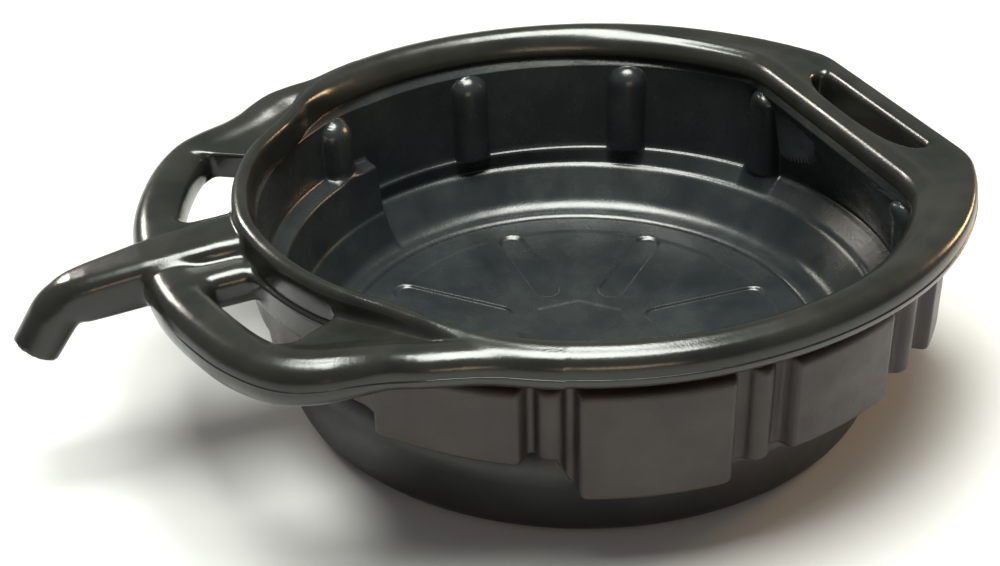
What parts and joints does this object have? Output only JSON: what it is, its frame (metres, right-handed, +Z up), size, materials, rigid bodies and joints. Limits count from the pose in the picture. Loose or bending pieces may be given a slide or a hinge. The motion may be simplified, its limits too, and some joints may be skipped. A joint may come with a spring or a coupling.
{
  "type": "oil drain pan",
  "caption": "Round double-walled drain pan with a deep sump, ribbed bowl, beaded rim, turned-down pour spout, two side handles and a carry slot.",
  "frame": {"origin": "centre of the round resting face, on the face", "axes": "+Z up, +X toward the straight carry end with the slot, so the spout points along -X; -Y is the left side, +Y the right side"},
  "size_m": [0.5487, 0.4318, 0.136],
  "materials": {
    "outer_skin": "satin black polyethylene, smooth",
    "inner_skin": "satin black polyethylene, smooth, the inside of the bowl",
    "textured_skin": "black polyethylene with a fine etched texture",
    "bead": "polished black polyethylene on the rim, spout and handles"
  },
  "bodies": {
    "root": {"base_shell": "outer_skin", "sump_floor": "inner_skin", "sump_wall": "inner_skin", "bowl_ledge": "inner_skin", "spout_shelf": "inner_skin", "bowl_wall": "inner_skin", "wall_rib_a_left": "inner_skin", "wall_rib_a_right": "inner_skin", "wall_rib_b_left": "inner_skin", "wall_rib_b_right": "inner_skin", "wall_rib_c_left": "inner_skin", "wall_rib_c_right": "inner_skin", "wall_rib_d_left": "inner_skin", "wall_rib_d_right": "inner_skin", "rim_bead": "bead", "carry_flange": "bead", "skirt_wall": "textured_skin", "skirt_panel_carry_left": "textured_skin", "skirt_panel_carry_right": "textured_skin", "skirt_panel_front_left": "textured_skin", "skirt_panel_front_right": "textured_skin", "skirt_panel_middle_left": "textured_skin", "skirt_panel_middle_right": "textured_skin", "skirt_panel_spout_left": "textured_skin", "skirt_panel_spout_right": "textured_skin", "skirt_post_a_left": "textured_skin", "skirt_post_a_right": "textured_skin", "skirt_post_b_left": "textured_skin", "skirt_post_b_right": "textured_skin", "skirt_post_c_left": "textured_skin", "skirt_post_c_right": "textured_skin", "spout_throat": "inner_skin", "spout_tube": "bead", "spout_tip": "bead", "side_handle_left": "bead", "side_handle_right": "bead"}
  },
  "joints": []
}
